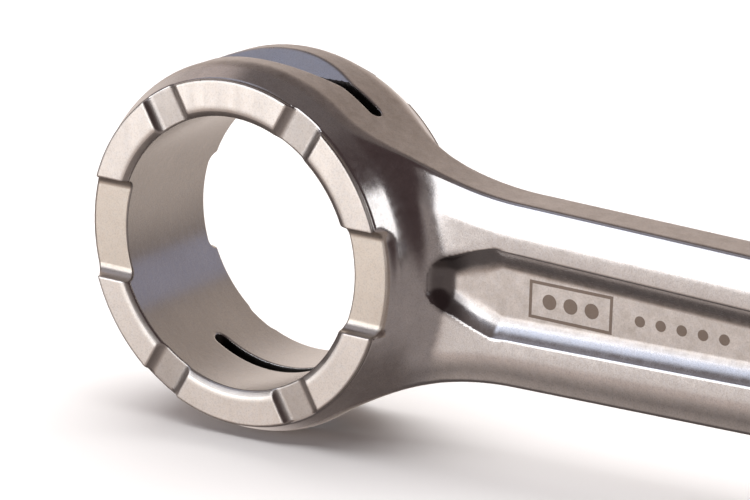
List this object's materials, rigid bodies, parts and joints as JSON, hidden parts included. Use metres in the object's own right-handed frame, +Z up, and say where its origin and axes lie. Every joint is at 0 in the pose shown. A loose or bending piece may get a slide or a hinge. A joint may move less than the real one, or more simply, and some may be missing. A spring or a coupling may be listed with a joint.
{
  "type": "connecting rod",
  "caption": "Two-stroke connecting rod with a bare grooved big-end ring, a slim pocketed shank, and a small end holding a caged needle bearing and a hollow gudgeon pin.",
  "frame": {"origin": "centre of the big-end bore, midway between the two thrust faces", "axes": "+X from the big end to the small end, +Y along both bore axes, +Z up, so the rod stands on its edge"},
  "size_m": [0.1403, 0.045, 0.0354],
  "materials": {
    "rod_steel": "satin",
    "pin_steel": "ground and polished",
    "cage_steel": "plated satin",
    "roller_steel": "polished"
  },
  "bodies": {
    "rod": {"big_end_ring": "rod_steel", "shank": "rod_steel", "small_end_eye": "rod_steel"},
    "pin": {"gudgeon_pin": "pin_steel"},
    "cage": {"needle_cage": "cage_steel"},
    "roller_01": {"needle_roller_01": "roller_steel"},
    "roller_02": {"needle_roller_02": "roller_steel"},
    "roller_03": {"needle_roller_03": "roller_steel"},
    "roller_04": {"needle_roller_04": "roller_steel"},
    "roller_05": {"needle_roller_05": "roller_steel"},
    "roller_06": {"needle_roller_06": "roller_steel"},
    "roller_07": {"needle_roller_07": "roller_steel"},
    "roller_08": {"needle_roller_08": "roller_steel"},
    "roller_09": {"needle_roller_09": "roller_steel"},
    "roller_10": {"needle_roller_10": "roller_steel"},
    "roller_11": {"needle_roller_11": "roller_steel"},
    "roller_12": {"needle_roller_12": "roller_steel"},
    "roller_13": {"needle_roller_13": "roller_steel"},
    "roller_14": {"needle_roller_14": "roller_steel"},
    "roller_15": {"needle_roller_15": "roller_steel"},
    "roller_16": {"needle_roller_16": "roller_steel"},
    "roller_17": {"needle_roller_17": "roller_steel"},
    "roller_18": {"needle_roller_18": "roller_steel"}
  },
  "joints": [
    {"name": "pin_turn", "type": "hinge", "parent": "rod", "child": "pin", "pos_m": [0.11, 0, 0], "axis": [0, 1, 0], "continuous": true},
    {"name": "cage_turn", "type": "hinge", "parent": "rod", "child": "cage", "pos_m": [0.11, 0, 0], "axis": [0, 1, 0], "continuous": true},
    {"name": "roller_01_spin", "type": "hinge", "parent": "cage", "child": "roller_01", "pos_m": [0.1185, 0, 0], "axis": [0, 1, 0], "continuous": true},
    {"name": "roller_02_spin", "type": "hinge", "parent": "cage", "child": "roller_02", "pos_m": [0.11799, 0, 0.00291], "axis": [0, 1, 0], "continuous": true},
    {"name": "roller_03_spin", "type": "hinge", "parent": "cage", "child": "roller_03", "pos_m": [0.11651, 0, 0.00546], "axis": [0, 1, 0], "continuous": true},
    {"name": "roller_04_spin", "type": "hinge", "parent": "cage", "child": "roller_04", "pos_m": [0.11425, 0, 0.00736], "axis": [0, 1, 0], "continuous": true},
    {"name": "roller_05_spin", "type": "hinge", "parent": "cage", "child": "roller_05", "pos_m": [0.11148, 0, 0.00837], "axis": [0, 1, 0], "continuous": true},
    {"name": "roller_06_spin", "type": "hinge", "parent": "cage", "child": "roller_06", "pos_m": [0.10852, 0, 0.00837], "axis": [0, 1, 0], "continuous": true},
    {"name": "roller_07_spin", "type": "hinge", "parent": "cage", "child": "roller_07", "pos_m": [0.10575, 0, 0.00736], "axis": [0, 1, 0], "continuous": true},
    {"name": "roller_08_spin", "type": "hinge", "parent": "cage", "child": "roller_08", "pos_m": [0.10349, 0, 0.00546], "axis": [0, 1, 0], "continuous": true},
    {"name": "roller_09_spin", "type": "hinge", "parent": "cage", "child": "roller_09", "pos_m": [0.10201, 0, 0.00291], "axis": [0, 1, 0], "continuous": true},
    {"name": "roller_10_spin", "type": "hinge", "parent": "cage", "child": "roller_10", "pos_m": [0.1015, 0, 0], "axis": [0, 1, 0], "continuous": true},
    {"name": "roller_11_spin", "type": "hinge", "parent": "cage", "child": "roller_11", "pos_m": [0.10201, 0, -0.00291], "axis": [0, 1, 0], "continuous": true},
    {"name": "roller_12_spin", "type": "hinge", "parent": "cage", "child": "roller_12", "pos_m": [0.10349, 0, -0.00546], "axis": [0, 1, 0], "continuous": true},
    {"name": "roller_13_spin", "type": "hinge", "parent": "cage", "child": "roller_13", "pos_m": [0.10575, 0, -0.00736], "axis": [0, 1, 0], "continuous": true},
    {"name": "roller_14_spin", "type": "hinge", "parent": "cage", "child": "roller_14", "pos_m": [0.10852, 0, -0.00837], "axis": [0, 1, 0], "continuous": true},
    {"name": "roller_15_spin", "type": "hinge", "parent": "cage", "child": "roller_15", "pos_m": [0.11148, 0, -0.00837], "axis": [0, 1, 0], "continuous": true},
    {"name": "roller_16_spin", "type": "hinge", "parent": "cage", "child": "roller_16", "pos_m": [0.11425, 0, -0.00736], "axis": [0, 1, 0], "continuous": true},
    {"name": "roller_17_spin", "type": "hinge", "parent": "cage", "child": "roller_17", "pos_m": [0.11651, 0, -0.00546], "axis": [0, 1, 0], "continuous": true},
    {"name": "roller_18_spin", "type": "hinge", "parent": "cage", "child": "roller_18", "pos_m": [0.11799, 0, -0.00291], "axis": [0, 1, 0], "continuous": true}
  ],
  "couplings": [
    {"joint": "cage_turn", "follows": "pin_turn", "ratio": 0.44118},
    {"joint": "roller_01_spin", "follows": "pin_turn", "ratio": -4.1912},
    {"joint": "roller_02_spin", "follows": "pin_turn", "ratio": -4.1912},
    {"joint": "roller_03_spin", "follows": "pin_turn", "ratio": -4.1912},
    {"joint": "roller_04_spin", "follows": "pin_turn", "ratio": -4.1912},
    {"joint": "roller_05_spin", "follows": "pin_turn", "ratio": -4.1912},
    {"joint": "roller_06_spin", "follows": "pin_turn", "ratio": -4.1912},
    {"joint": "roller_07_spin", "follows": "pin_turn", "ratio": -4.1912},
    {"joint": "roller_08_spin", "follows": "pin_turn", "ratio": -4.1912},
    {"joint": "roller_09_spin", "follows": "pin_turn", "ratio": -4.1912},
    {"joint": "roller_10_spin", "follows": "pin_turn", "ratio": -4.1912},
    {"joint": "roller_11_spin", "follows": "pin_turn", "ratio": -4.1912},
    {"joint": "roller_12_spin", "follows": "pin_turn", "ratio": -4.1912},
    {"joint": "roller_13_spin", "follows": "pin_turn", "ratio": -4.1912},
    {"joint": "roller_14_spin", "follows": "pin_turn", "ratio": -4.1912},
    {"joint": "roller_15_spin", "follows": "pin_turn", "ratio": -4.1912},
    {"joint": "roller_16_spin", "follows": "pin_turn", "ratio": -4.1912},
    {"joint": "roller_17_spin", "follows": "pin_turn", "ratio": -4.1912},
    {"joint": "roller_18_spin", "follows": "pin_turn", "ratio": -4.1912}
  ]
}
